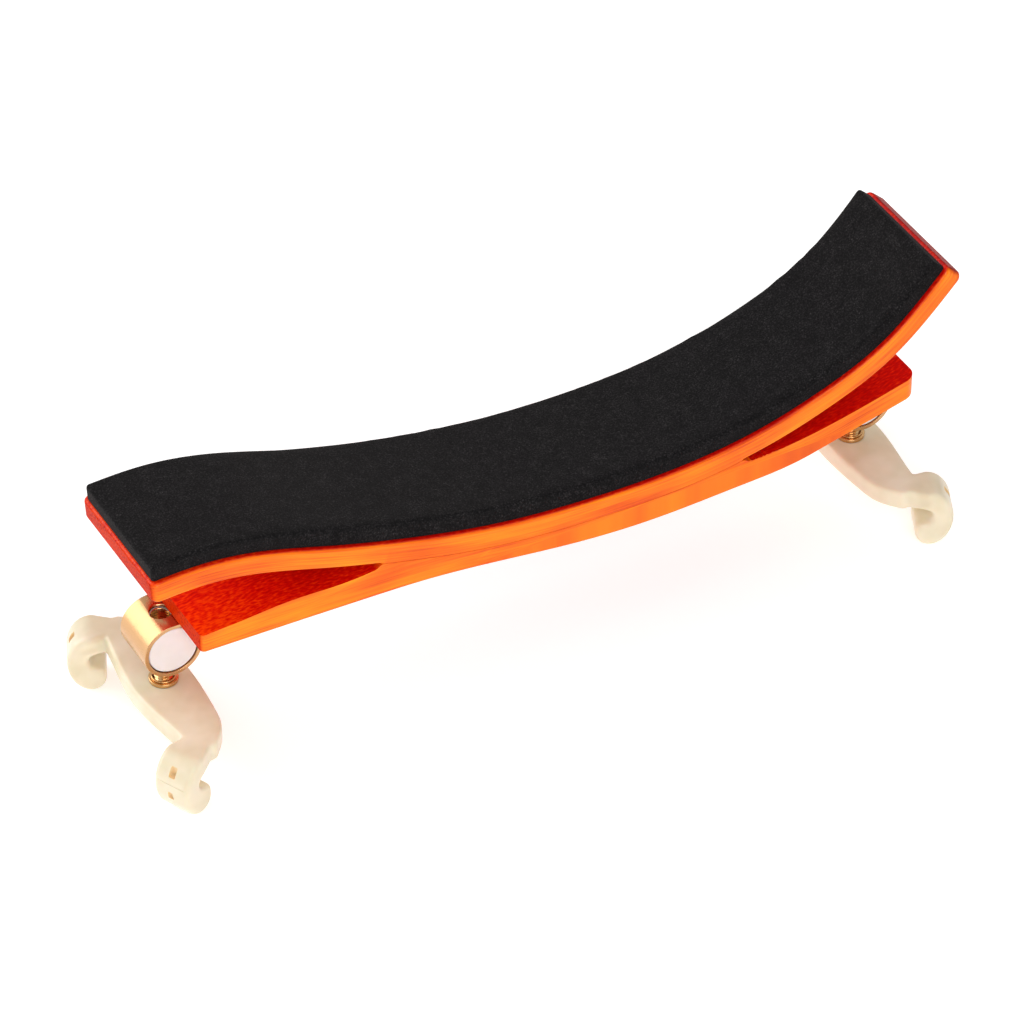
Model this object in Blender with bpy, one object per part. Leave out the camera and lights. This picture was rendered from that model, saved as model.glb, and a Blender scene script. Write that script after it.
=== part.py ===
"""Violin shoulder rest, built as separate pieces in their own frame.

Two lacquered maple plates are glued together along their middle and fork apart at both
ends. The upper one carries a foam pad. Under each end of the lower one a brass strap is
rolled into a ring round a nylon barrel; a threaded stud runs down through the barrel
into a moulded foot, whose two claws hook over the edge of the violin. Turning a foot
screws it up or down.

X runs along the rest, Z is up, and the rest stands on its claw tips. The origin is the
middle of the whole outline, on the ground. Heights of the woodwork are measured from
the axis of the rings, and places along it from the nearer stud.
"""

import math

import bmesh
import bpy
import numpy as np
from mathutils import Matrix, Vector

MM = 0.001
GAP = 0.3 * MM  # clearance between pieces that touch

# Overall sizes
STUD_SPACING = 197.4 * MM
PLATE_WIDTH = 38.8 * MM
RING_AXIS_HEIGHT = 31.1 * MM

# Woodwork
UPPER_THICKNESS = 5.7 * MM
EDGE_ROUND = 1.3 * MM
LOWER_LEFT_END = 1.6 * MM  # inboard of the left stud
LOWER_RIGHT_END = 6.4 * MM  # outboard of the right stud
LEFT_FORK_DEPTH = 50.2 * MM  # inboard of the left stud
RIGHT_FORK_DEPTH = 44.0 * MM  # inboard of the right stud
FORK_STEP = 1.1 * MM  # height of the cut at the root of each fork
FORK_STEP_RUN = 1.8 * MM

# Top face of the upper plate: (distance from the left stud, height above the ring axis)
UPPER_LEFT_KNOTS = ((-10.4, 33.7), (3.7, 34.0), (18.7, 31.7), (38.7, 25.5), (58.7, 19.8),
                    (83.7, 14.5))
UPPER_RIGHT_KNOTS = ((-88.7, 12.1), (-70.7, 11.7), (-53.7, 12.7), (-36.7, 15.7),
                     (-18.7, 21.6), (-1.7, 30.8), (14.4, 46.8))
# Top face of the lower plate where it forks away, and its underside between the rings
LOWER_LEFT_KNOTS = ((13.0, 13.8), (27.0, 14.6), (41.0, 14.2))
LOWER_LEFT_END_HEIGHT = 13.2
LOWER_RIGHT_KNOTS = ((-34.0, 7.7), (-22.0, 9.2), (-9.0, 12.0))
LOWER_RIGHT_END_HEIGHT = 16.0
UNDERSIDE_LEFT_KNOTS = ((44.7, 6.8), (63.7, 5.9), (83.4, 3.6))
UNDERSIDE_RIGHT_KNOTS = ((-91.3, 0.6), (-68.7, -0.6), (-44.7, 0.2))

# Foam pad and the tape under it
PAD_THICKNESS = 4.2 * MM
PAD_INSET = 1.3 * MM  # along the sides
PAD_END_INSET = 0.8 * MM
PAD_EDGE_ROUND = 1.2 * MM
TAPE_THICKNESS = 0.4 * MM
TAPE_INSET = 4.5 * MM

# Brass strap: ring and tongue
RING_RADIUS = 7.75 * MM
STRAP_THICKNESS = 1.05 * MM
STRAP_WIDTH = 13.8 * MM
TONGUE_LENGTH = 21.5 * MM
LEFT_TONGUE_TILT = math.radians(1.5)
RIGHT_TONGUE_TILT = math.radians(14.0)
TONGUE_SEAT = 24.0 * MM  # straight stretch of the underside, inboard of the stud
BARREL_RECESS = 0.5 * MM

# Wood screws through the tongue
SCREW_PLACES = (10.6 * MM, 17.6 * MM)
SCREW_SHANK_RADIUS = 1.3 * MM
SCREW_HEAD_RADIUS = 2.5 * MM
SCREW_HEAD_HEIGHT = 1.5 * MM
SCREW_REACH = 3.6 * MM

# Stud, washer and flanged insert
STUD_RADIUS = 2.4 * MM
STUD_END_RISE = 4.5 * MM  # top of the stud above the ring's axis
INSERT_SHANK_RADIUS = 3.4 * MM
FLANGE_RADIUS = 4.0 * MM
FLANGE_THICKNESS = 1.1 * MM
WASHER_RADIUS = 3.8 * MM
WASHER_THICKNESS = 0.6 * MM

# Foot: bar, claws and the stiff core inside
BAR_TOP = 16.9 * MM
BAR_BOTTOM = 11.3 * MM
BAR_EDGE_ROUND = 2.2 * MM
BAR_INBOARD = 7.5 * MM  # from the stud, at the middle of the bar
BAR_OUTBOARD = 8.5 * MM
CLAW_FROM_STUD = 8.4 * MM  # middle of a claw, outboard of the stud
CLAW_SPREAD = 27.0 * MM  # middle of a claw, to either side of the stud
CLAW_SPLAY = math.radians(25)
CLAW_WIDTH = 10.6 * MM
CLAW_REACH = 5.0 * MM  # from the middle of a claw to its outer face
CLAW_BULGE = 6.5 * MM  # how far the outer face is rounded over, above its middle
CLAW_ROOT = 8.5 * MM  # from the middle of a claw back into the bar
CLAW_EDGE_ROUND = 1.5 * MM
HOOK_INNER = 4.8 * MM  # from the middle of a claw to the hook's inner face
HOOK_HEIGHT = 7.0 * MM
HOOK_ROUND = 1.6 * MM
TOE_ROUND = 4.4 * MM
CORE_HALF_WIDTH = 5.2 * MM
CORE_THICKNESS = 2.2 * MM
CORE_SHOULDER = 16.5 * MM
CORE_FINGER_WIDTH = 3.6 * MM
CORE_FINGER_REACH = 2.0 * MM  # from the middle of a claw towards its outer face
INSERT_FLOOR = 1.1 * MM  # left under the insert
PIN_MARK = Vector((1.8, 1.7, 2.2)) * MM
PIN_MARK_DEPTH = 0.7 * MM

HALF_SPAN = STUD_SPACING / 2
INSERT_BOTTOM = BAR_BOTTOM + INSERT_FLOOR
CORE_MIDDLE = (BAR_TOP + BAR_BOTTOM) / 2


def rounded_steps(start, end, count):
    """Evenly spaced values from start to end, both included."""
    return [start + (end - start) * i / (count - 1) for i in range(count)]


def arc(centre_x, centre_z, radius_x, radius_z, start_degrees, end_degrees, count):
    """Points along an arc, as (x, z)."""
    angles = [math.radians(a) for a in rounded_steps(start_degrees, end_degrees, count)]
    return [(centre_x + radius_x * math.cos(a), centre_z + radius_z * math.sin(a))
            for a in angles]


def smooth_curve(knots, start_slope=None, end_slope=None):
    """A cubic spline through (x, z) knots; it returns the function z(x)."""
    x = np.array([k[0] for k in knots])
    z = np.array([k[1] for k in knots])
    step = np.diff(x)
    rise = np.diff(z) / step
    count = len(x)
    matrix = np.zeros((count, count))
    target = np.zeros(count)
    for i in range(1, count - 1):
        matrix[i, i - 1] = step[i]
        matrix[i, i] = 2 * (step[i - 1] + step[i])
        matrix[i, i + 1] = step[i - 1]
        target[i] = 3 * (rise[i - 1] * step[i] + rise[i] * step[i - 1])
    if start_slope is None:
        matrix[0, :2] = (2, 1)
        target[0] = 3 * rise[0]
    else:
        matrix[0, 0] = 1
        target[0] = start_slope
    if end_slope is None:
        matrix[-1, -2:] = (1, 2)
        target[-1] = 3 * rise[-1]
    else:
        matrix[-1, -1] = 1
        target[-1] = end_slope
    slope = np.linalg.solve(matrix, target)

    def height(at):
        i = int(np.clip(np.searchsorted(x, at) - 1, 0, count - 2))
        t = (at - x[i]) / step[i]
        return float(z[i] * (1 + 2 * t) * (1 - t) ** 2 + z[i + 1] * t * t * (3 - 2 * t)
                     + step[i] * slope[i] * t * (1 - t) ** 2
                     - step[i] * slope[i + 1] * t * t * (1 - t))

    return height


def offset_curve(points, distance):
    """The points moved sideways by a distance, to the left of their direction."""
    moved = []
    last = len(points) - 1
    for i, point in enumerate(points):
        before = points[max(i - 1, 0)]
        after = points[min(i + 1, last)]
        run = Vector((after[0] - before[0], after[1] - before[1])).normalized()
        moved.append((point[0] - run.y * distance, point[1] + run.x * distance))
    return moved


def offset_outline(points, distance):
    """A closed outline grown by a distance, with its corners kept sharp."""
    grown = []
    count = len(points)
    for i, point in enumerate(points):
        into = (Vector(point) - Vector(points[i - 1])).normalized()
        out = (Vector(points[(i + 1) % count]) - Vector(point)).normalized()
        normal = Vector((into.y + out.y, -into.x - out.x)).normalized()
        reach = distance / normal.dot(Vector((out.y, -out.x)))
        grown.append((point[0] + normal.x * reach, point[1] + normal.y * reach))
    return grown


def material(name, colour, roughness, metallic=0.0):
    """A Principled material in one plain colour."""
    made = bpy.data.materials.new(name)
    made.use_nodes = True
    shader = made.node_tree.nodes["Principled BSDF"]
    shader.inputs["Base Color"].default_value = (*colour, 1.0)
    shader.inputs["Roughness"].default_value = roughness
    shader.inputs["Metallic"].default_value = metallic
    made.diffuse_color = (*colour, 1.0)
    return made


def add_object(name, shape, finish=None, parent=None):
    """Turn a bmesh into a named object in the scene."""
    bmesh.ops.recalc_face_normals(shape, faces=shape.faces)
    mesh = bpy.data.meshes.new(name)
    shape.to_mesh(mesh)
    shape.free()
    mesh.shade_smooth()
    mesh.set_sharp_from_angle(angle=math.radians(35))
    piece = bpy.data.objects.new(name, mesh)
    bpy.context.scene.collection.objects.link(piece)
    if finish:
        mesh.materials.append(finish)
    piece.parent = parent
    return piece


def prism(outline, low, high, upright=False):
    """A closed outline drawn through. It lies in XZ and runs along Y, or in XY if upright."""
    shape = bmesh.new()
    if upright:
        corners = [shape.verts.new((a, b, low)) for a, b in outline]
        travel = Vector((0, 0, high - low))
    else:
        corners = [shape.verts.new((a, low, b)) for a, b in outline]
        travel = Vector((0, high - low, 0))
    base = shape.faces.new(corners)
    drawn = bmesh.ops.extrude_face_region(shape, geom=[base], use_keep_orig=True)
    moved = [v for v in drawn["geom"] if isinstance(v, bmesh.types.BMVert)]
    bmesh.ops.translate(shape, verts=moved, vec=travel)
    return shape


def rounded(shape, width, segments, least_degrees=40):
    """Round every edge that is sharper than the given angle."""
    bmesh.ops.recalc_face_normals(shape, faces=shape.faces)
    least = math.radians(least_degrees)
    sharp = [e for e in shape.edges if e.calc_face_angle(0) > least]
    bmesh.ops.bevel(shape, geom=sharp, offset=width, segments=segments, profile=0.5,
                    affect='EDGES', clamp_overlap=True, material=-1)
    return shape


def turned(profile, segments):
    """A solid of revolution about Z from (radius, z) points that start and end on it."""
    shape = bmesh.new()
    verts = [shape.verts.new((radius, 0, z)) for radius, z in profile]
    edges = [shape.edges.new(pair) for pair in zip(verts, verts[1:])]
    bmesh.ops.spin(shape, geom=verts + edges, axis=(0, 0, 1), cent=(0, 0, 0),
                   angle=2 * math.pi, steps=segments, use_merge=True)
    bmesh.ops.remove_doubles(shape, verts=shape.verts, dist=0.001 * MM)
    return shape


def turned_ring(profile, segments):
    """A ring of revolution about Z from a closed run of (radius, z) points."""
    shape = bmesh.new()
    verts = [shape.verts.new((radius, 0, z)) for radius, z in profile]
    edges = [shape.edges.new(pair) for pair in zip(verts, verts[1:] + verts[:1])]
    bmesh.ops.spin(shape, geom=verts + edges, axis=(0, 0, 1), cent=(0, 0, 0),
                   angle=2 * math.pi, steps=segments, use_merge=True)
    bmesh.ops.remove_doubles(shape, verts=shape.verts, dist=0.001 * MM)
    return shape


def rod(radius, low, high, segments, place=None):
    """A plain cylinder along Z, or along Z of the place matrix."""
    shape = bmesh.new()
    centre = Matrix.Translation((0, 0, (low + high) / 2))
    bmesh.ops.create_cone(shape, cap_ends=True, segments=segments, radius1=radius,
                          radius2=radius, depth=high - low,
                          matrix=(place or Matrix()) @ centre)
    return shape


def block(centre, size):
    """A rectangular block."""
    shape = bmesh.new()
    bmesh.ops.create_cube(shape, size=1.0,
                          matrix=Matrix.Translation(centre) @ Matrix.Diagonal((*size, 1)))
    return shape


def combine(target, name, shape, operation='DIFFERENCE'):
    """Cut a shape out of an object, or join it on, with an exact Boolean."""
    tool = add_object(name, shape, parent=target.parent)
    tool.location = target.location
    tool.rotation_euler = target.rotation_euler
    tool.hide_render = True
    tool.display_type = 'WIRE'
    step = target.modifiers.new(name, 'BOOLEAN')
    step.operation = operation
    step.solver = 'EXACT'
    step.object = tool


def from_left(knots):
    """Knots measured from the left stud, in metres."""
    return [(-HALF_SPAN + x * MM, RING_AXIS_HEIGHT + z * MM) for x, z in knots]


def from_right(knots):
    """Knots measured from the right stud, in metres."""
    return [(HALF_SPAN + x * MM, RING_AXIS_HEIGHT + z * MM) for x, z in knots]


def tongue_plane(inboard, tilt):
    """Height of the underside over a strap's tongue, a distance inboard of the stud."""
    return RING_AXIS_HEIGHT + (RING_RADIUS + GAP) / math.cos(tilt) - math.tan(tilt) * inboard


def upper_top(inset=0.0, count=60):
    """Evenly spaced points along the upper plate's top face, left to right."""
    knots = from_left(UPPER_LEFT_KNOTS) + from_right(UPPER_RIGHT_KNOTS)
    height = smooth_curve(knots)
    fine = [(x, height(x)) for x in rounded_steps(knots[0][0], knots[-1][0], 600)]
    steps = [math.dist(a, b) for a, b in zip(fine, fine[1:])]
    along = np.concatenate(([0.0], np.cumsum(steps)))
    wanted = rounded_steps(inset, along[-1] - inset, count)
    return [(x, height(x)) for x in np.interp(wanted, along, [p[0] for p in fine])]


def build_upper_plate(wood, frame):
    """The long plate that carries the pad."""
    top = upper_top()
    bottom = offset_curve(top, -UPPER_THICKNESS)
    shape = prism(top + bottom[::-1], -PLATE_WIDTH / 2, PLATE_WIDTH / 2)
    return add_object("upper_plate", rounded(shape, EDGE_ROUND, 3), wood, frame)


def lower_outline():
    """Outline of the lower plate, round from its left end over the top and back below."""
    left_root = -HALF_SPAN + LEFT_FORK_DEPTH
    right_root = HALF_SPAN - RIGHT_FORK_DEPTH
    seam = offset_curve(upper_top(), -UPPER_THICKNESS - GAP)
    glued = [p for p in seam if left_root < p[0] < right_root]
    left_end = -HALF_SPAN + LOWER_LEFT_END
    right_end = HALF_SPAN + LOWER_RIGHT_END
    axis = RING_AXIS_HEIGHT

    left_foot_of_step = (glued[0][0] - FORK_STEP_RUN, glued[0][1] - FORK_STEP)
    left_knots = [(left_end, axis + LOWER_LEFT_END_HEIGHT * MM)]
    left_knots += from_left(LOWER_LEFT_KNOTS) + [left_foot_of_step]
    left_height = smooth_curve(left_knots)
    left = [(x, left_height(x))
            for x in rounded_steps(left_end, left_foot_of_step[0], 12)]

    right_foot_of_step = (glued[-1][0] + FORK_STEP_RUN, glued[-1][1] - FORK_STEP / 2)
    right_knots = [right_foot_of_step] + from_right(LOWER_RIGHT_KNOTS)
    right_knots.append((right_end, axis + LOWER_RIGHT_END_HEIGHT * MM))
    right_height = smooth_curve(right_knots)
    right = [(x, right_height(x))
             for x in rounded_steps(right_foot_of_step[0], right_end, 13)]

    left_seat = (-HALF_SPAN + TONGUE_SEAT, tongue_plane(TONGUE_SEAT, LEFT_TONGUE_TILT))
    right_seat = (HALF_SPAN - TONGUE_SEAT, tongue_plane(TONGUE_SEAT, RIGHT_TONGUE_TILT))
    middle_knots = [left_seat] + from_left(UNDERSIDE_LEFT_KNOTS)
    middle_knots += from_right(UNDERSIDE_RIGHT_KNOTS) + [right_seat]
    under = smooth_curve(middle_knots, -math.tan(LEFT_TONGUE_TILT),
                         math.tan(RIGHT_TONGUE_TILT))
    middle = [(x, under(x)) for x in rounded_steps(left_seat[0], right_seat[0], 34)]
    bottom = [(left_end, tongue_plane(LOWER_LEFT_END, LEFT_TONGUE_TILT))] + middle
    bottom.append((right_end, tongue_plane(-LOWER_RIGHT_END, RIGHT_TONGUE_TILT)))
    return left + glued + right + bottom[::-1]


def build_lower_plate(wood, frame):
    """The plate that carries the two straps."""
    shape = prism(lower_outline(), -PLATE_WIDTH / 2, PLATE_WIDTH / 2)
    plate = add_object("lower_plate", rounded(shape, EDGE_ROUND, 3, 50), wood, frame)
    sides = (("left", LEFT_TONGUE_TILT), ("right", RIGHT_TONGUE_TILT))
    for side, tilt in sides:
        stand = stud_place(side)
        for number, along in enumerate(SCREW_PLACES, 1):
            hole = rod(SCREW_SHANK_RADIUS + GAP, -2 * MM, SCREW_REACH + GAP + GAP, 16,
                       stand @ tongue_place(along, tilt))
            combine(plate, f"{side}_pilot_hole_{number}", hole)
    return plate


def build_pad(foam, tape, frame):
    """The foam pad, and the tape that holds it to the upper plate."""
    def layer(lift, thickness, inset, end_inset, name, finish, edge):
        run = upper_top(end_inset)
        low = offset_curve(run, lift)
        high = offset_curve(run, lift + thickness)
        half = PLATE_WIDTH / 2 - inset
        shape = prism(high + low[::-1], -half, half)
        if edge:
            rounded(shape, edge, 3)
        return add_object(name, shape, finish, frame)

    layer(GAP, TAPE_THICKNESS, TAPE_INSET, TAPE_INSET, "pad_tape", tape, 0)
    layer(GAP * 2 + TAPE_THICKNESS, PAD_THICKNESS, PAD_INSET, PAD_END_INSET, "foam_pad",
          foam, PAD_EDGE_ROUND)


def stud_place(side):
    """Where a side's stud stands on the ground; -X of it points outboard."""
    if side == "left":
        return Matrix.Translation((-HALF_SPAN, 0, 0))
    return Matrix.Translation((HALF_SPAN, 0, 0)) @ Matrix.Rotation(math.pi, 4, 'Z')


def tongue_place(along, tilt):
    """A place on the tongue's top face, with Z square to it."""
    turn = Matrix.Rotation(tilt, 4, 'Y')
    ring = Matrix.Translation((0, 0, RING_AXIS_HEIGHT))
    return ring @ turn @ Matrix.Translation((along, 0, RING_RADIUS))


def build_strap(side, tilt, finishes, stand):
    """The rolled strap with its tongue, the barrel inside it, and its two screws."""
    turn = Matrix.Translation((0, 0, RING_AXIS_HEIGHT)) @ Matrix.Rotation(tilt, 4, 'Y')
    half = STRAP_WIDTH / 2
    inner = RING_RADIUS - STRAP_THICKNESS
    neck = math.degrees(math.asin(inner / RING_RADIUS))
    outer = arc(0, 0, RING_RADIUS, RING_RADIUS, 90, 360 + neck, 34)
    shape = prism(outer + [(TONGUE_LENGTH, inner), (TONGUE_LENGTH, RING_RADIUS)],
                  -half, half)
    bmesh.ops.transform(shape, matrix=turn, verts=shape.verts)
    strap = add_object(f"{side}_strap", shape, finishes["brass"], stand)

    lying = Matrix.Rotation(math.pi / 2, 4, 'X')
    axis = Matrix.Translation((0, 0, RING_AXIS_HEIGHT)) @ lying
    combine(strap, f"{side}_strap_bore", rod(inner, -half - MM, half + MM, 36, axis))
    hole = rod(STUD_RADIUS + GAP, RING_AXIS_HEIGHT - 2 * RING_RADIUS,
               RING_AXIS_HEIGHT + 2 * RING_RADIUS, 20)
    combine(strap, f"{side}_strap_stud_hole", hole)
    for number, along in enumerate(SCREW_PLACES, 1):
        hole = rod(SCREW_SHANK_RADIUS + GAP, -3 * STRAP_THICKNESS, STRAP_THICKNESS, 16,
                   tongue_place(along, tilt))
        combine(strap, f"{side}_strap_screw_hole_{number}", hole)
        add_object(f"{side}_strap_screw_{number}", wood_screw(tongue_place(along, tilt)),
                   finishes["screw"], stand)

    length = STRAP_WIDTH / 2 - BARREL_RECESS
    barrel_shape = rod(inner - GAP, -length, length, 36, axis)
    barrel = add_object(f"{side}_barrel", barrel_shape, finishes["nylon"], stand)
    hole = rod(STUD_RADIUS + GAP, RING_AXIS_HEIGHT - 2 * RING_RADIUS,
               RING_AXIS_HEIGHT + 2 * RING_RADIUS, 20)
    combine(barrel, f"{side}_barrel_bore", hole)


def wood_screw(place):
    """A round-headed wood screw that comes up through the tongue."""
    under_tongue = -STRAP_THICKNESS - GAP
    head = arc(0, under_tongue, SCREW_HEAD_RADIUS, SCREW_HEAD_HEIGHT, 270, 360, 5)
    tip = SCREW_REACH
    profile = head + [(SCREW_SHANK_RADIUS, under_tongue),
                      (SCREW_SHANK_RADIUS, tip - SCREW_SHANK_RADIUS), (0, tip)]
    shape = turned(profile, 16)
    bmesh.ops.transform(shape, matrix=place, verts=shape.verts)
    return shape


def build_stud(side, finishes, stand):
    """The threaded stud, the washer on its flange, and the insert it is fixed in."""
    chamfer = 0.5 * MM
    low = INSERT_BOTTOM + GAP
    high = RING_AXIS_HEIGHT + STUD_END_RISE
    profile = [(0, low), (STUD_RADIUS - chamfer, low), (STUD_RADIUS, low + chamfer),
               (STUD_RADIUS, high - chamfer), (STUD_RADIUS - chamfer, high), (0, high)]
    add_object(f"{side}_stud", turned(profile, 20), finishes["steel"], stand)

    bore = STUD_RADIUS + GAP
    flange_low = BAR_TOP + GAP
    flange_high = flange_low + FLANGE_THICKNESS
    insert = [(bore, INSERT_BOTTOM), (INSERT_SHANK_RADIUS, INSERT_BOTTOM),
              (INSERT_SHANK_RADIUS, flange_low), (FLANGE_RADIUS, flange_low),
              (FLANGE_RADIUS, flange_high), (bore, flange_high)]
    add_object(f"{side}_flange_insert", turned_ring(insert, 24), finishes["brass"], stand)

    washer_low = flange_high + GAP
    washer = [(bore, washer_low), (WASHER_RADIUS, washer_low),
              (WASHER_RADIUS, washer_low + WASHER_THICKNESS),
              (bore, washer_low + WASHER_THICKNESS)]
    add_object(f"{side}_washer", turned_ring(washer, 24), finishes["brass"], stand)


def claw_place(end):
    """Where a claw's middle stands; -X of it points out of the claw."""
    middle = Matrix.Translation((-CLAW_FROM_STUD, end * CLAW_SPREAD, 0))
    return middle @ Matrix.Rotation(-end * CLAW_SPLAY, 4, 'Z')


def bar_outline():
    """The foot's bar from above: bowed outboard at the middle, narrower at the claws."""
    tip = CLAW_SPREAD + 0.4 * MM
    inboard = smooth_curve([(0, -BAR_INBOARD), (16 * MM, -6.4 * MM), (22 * MM, -4.9 * MM),
                            (tip, -0.8 * MM)], 0)
    outboard = smooth_curve([(0, BAR_OUTBOARD), (17 * MM, 6.4 * MM), (tip, 5.0 * MM)], 0)
    places = rounded_steps(-tip, tip, 19)
    return ([(-outboard(abs(y)), y) for y in places[::-1]]
            + [(-inboard(abs(y)), y) for y in places])


def claw_outline():
    """One claw from its side: out from the bar, round, down, and back in as a hook."""
    bulge_x = CLAW_BULGE - CLAW_REACH
    half_height = BAR_TOP / 2
    toe_x = HOOK_INNER - TOE_ROUND
    hook_x = HOOK_INNER - HOOK_ROUND
    throat = (BAR_BOTTOM - HOOK_HEIGHT) / 2
    throat_x = HOOK_INNER - throat
    return ([(CLAW_ROOT, BAR_TOP)]
            + arc(bulge_x, half_height, CLAW_BULGE, half_height, 90, 180, 9)
            + arc(toe_x, half_height, toe_x + CLAW_REACH, half_height, 190, 270, 8)[:-1]
            + arc(toe_x, TOE_ROUND, TOE_ROUND, TOE_ROUND, 270, 360, 6)
            + arc(hook_x, HOOK_HEIGHT - HOOK_ROUND, HOOK_ROUND, HOOK_ROUND, 0, 90, 5)
            + arc(throat_x, HOOK_HEIGHT + throat, throat, throat, 270, 90, 7)
            + [(CLAW_ROOT, BAR_BOTTOM)])


def core_outline():
    """The stiff core from above: a bar with a finger out into each claw."""
    half_finger = CORE_FINGER_WIDTH / 2
    finger = [claw_place(1) @ Vector(spot) for spot in (
        (CLAW_ROOT / 2, half_finger, 0), (-CORE_FINGER_REACH, half_finger, 0),
        (-CORE_FINGER_REACH, -half_finger, 0), (CLAW_ROOT / 2, -half_finger, 0))]
    far = [(CORE_HALF_WIDTH, CORE_SHOULDER)] + [(v.x, v.y) for v in finger]
    far.append((-CORE_HALF_WIDTH, CORE_SHOULDER))
    return far + [(x, -y) for x, y in far[::-1]]


def build_foot(side, finishes, stand):
    """The moulded foot and the stiff core inside it."""
    bar = rounded(prism(bar_outline(), BAR_BOTTOM, BAR_TOP, upright=True),
                  BAR_EDGE_ROUND, 4)
    cover = add_object(f"{side}_foot", bar, finishes["ivory"], stand)
    for end in (-1, 1):
        claw = rounded(prism(claw_outline(), -CLAW_WIDTH / 2, CLAW_WIDTH / 2),
                       CLAW_EDGE_ROUND, 3)
        bmesh.ops.transform(claw, matrix=claw_place(end), verts=claw.verts)
        combine(cover, f"{side}_claw_{end + 2}", claw, 'UNION')

    core_low = CORE_MIDDLE - CORE_THICKNESS / 2
    core_high = CORE_MIDDLE + CORE_THICKNESS / 2
    cavity = prism(offset_outline(core_outline(), GAP), core_low - GAP,
                   core_high + GAP, upright=True)
    combine(cover, f"{side}_core_cavity", cavity)
    well = rod(INSERT_SHANK_RADIUS + GAP, INSERT_BOTTOM - GAP, BAR_TOP + MM, 24)
    combine(cover, f"{side}_insert_well", well)
    for end in (-1, 1):
        for number, height in enumerate((CORE_MIDDLE, HOOK_HEIGHT), 1):
            face = outer_face(height) + PIN_MARK_DEPTH - PIN_MARK.x / 2
            mark = block((face, 0, height), PIN_MARK)
            bmesh.ops.transform(mark, matrix=claw_place(end), verts=mark.verts)
            combine(cover, f"{side}_pin_mark_{end + 2}_{number}", mark)

    core = prism(core_outline(), core_low, core_high, upright=True)
    core_piece = add_object(f"{side}_foot_core", core, finishes["core"], stand)
    hole = rod(INSERT_SHANK_RADIUS + GAP, core_low - MM, core_high + MM, 24)
    combine(core_piece, f"{side}_core_hole", hole)


def outer_face(height):
    """Where a claw's outer face is at a height, along X from the claw's middle."""
    rise = height / (BAR_TOP / 2) - 1
    reach = CLAW_BULGE if rise > 0 else HOOK_INNER - TOE_ROUND + CLAW_REACH
    return -CLAW_REACH + reach * (1 - math.sqrt(1 - rise * rise))


def add_empty(name, place, parent=None):
    """An empty to hang pieces on."""
    empty = bpy.data.objects.new(name, None)
    bpy.context.scene.collection.objects.link(empty)
    empty.parent = parent
    empty.matrix_local = place
    return empty


def middle_of_outline():
    """Middle of the finished outline along X."""
    graph = bpy.context.evaluated_depsgraph_get()
    places = []
    for piece in bpy.data.objects:
        if piece.type == 'MESH' and not piece.hide_render:
            done = piece.evaluated_get(graph)
            places += [(done.matrix_world @ v.co).x for v in done.data.vertices]
    return (min(places) + max(places)) / 2


def main():
    for old in list(bpy.data.objects):
        bpy.data.objects.remove(old)
    finishes = {
        "wood": material("orange_lacquered_maple", (0.79, 0.13, 0.012), 0.28),
        "foam": material("black_foam", (0.012, 0.011, 0.011), 0.95),
        "tape": material("tape_adhesive", (0.55, 0.5, 0.42), 0.6),
        "brass": material("brushed_brass", (0.78, 0.53, 0.25), 0.3, 1.0),
        "screw": material("brass_screw", (0.72, 0.5, 0.25), 0.35, 1.0),
        "steel": material("brassed_steel_stud", (0.7, 0.5, 0.27), 0.35, 1.0),
        "nylon": material("white_nylon", (0.86, 0.84, 0.82), 0.4),
        "ivory": material("ivory_moulding", (0.88, 0.76, 0.6), 0.35),
        "core": material("amber_nylon_core", (0.72, 0.5, 0.25), 0.45),
    }
    frame = add_empty("frame", Matrix())
    build_upper_plate(finishes["wood"], frame)
    build_lower_plate(finishes["wood"], frame)
    build_pad(finishes["foam"], finishes["tape"], frame)
    sides = (("left", LEFT_TONGUE_TILT), ("right", RIGHT_TONGUE_TILT))
    for side, tilt in sides:
        stand = add_empty(f"{side}_stud_axis", stud_place(side), frame)
        build_strap(side, tilt, finishes, stand)
        build_stud(side, finishes, stand)
        build_foot(side, finishes, stand)
    frame.location.x = -middle_of_outline()


main()
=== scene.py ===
# %% [markdown]
# A violin shoulder rest, dressed for its portrait
#
# The rest is two thin maple plates, glued along their middle and forking apart at the
# ends. A foam pad lies on the upper plate. Under each end of the lower plate a brass strap
# is rolled into a ring, with a nylon barrel in it, and a threaded stud hangs a moulded foot
# from the barrel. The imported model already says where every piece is. This lesson makes the
# pieces that are seen, and their finishes, around it.

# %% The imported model
import math

import bmesh
import bpy
import numpy as np
from mathutils import Matrix, Vector


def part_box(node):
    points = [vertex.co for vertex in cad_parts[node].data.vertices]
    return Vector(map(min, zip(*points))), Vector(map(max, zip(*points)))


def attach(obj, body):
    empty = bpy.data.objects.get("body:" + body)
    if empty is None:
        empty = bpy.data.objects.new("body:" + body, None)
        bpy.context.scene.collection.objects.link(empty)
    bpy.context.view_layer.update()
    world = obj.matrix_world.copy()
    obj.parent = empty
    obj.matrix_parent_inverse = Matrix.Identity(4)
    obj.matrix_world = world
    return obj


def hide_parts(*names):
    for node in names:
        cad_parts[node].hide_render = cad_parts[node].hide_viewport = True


MM = 0.001
SIDES = ("left", "right")
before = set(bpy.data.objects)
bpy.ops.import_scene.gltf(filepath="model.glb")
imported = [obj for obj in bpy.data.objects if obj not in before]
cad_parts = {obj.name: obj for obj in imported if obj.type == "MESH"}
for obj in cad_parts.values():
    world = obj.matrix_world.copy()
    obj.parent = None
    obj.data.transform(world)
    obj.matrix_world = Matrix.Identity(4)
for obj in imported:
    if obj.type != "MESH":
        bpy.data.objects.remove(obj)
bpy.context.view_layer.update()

# %% [markdown]
# The camera stands in front of the rest, a little to its left and above it, with a long
# lens, as a studio camera does for a small product. It is aimed by its own axes, so that
# the rest keeps its place in the frame without any lens shift.

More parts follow.
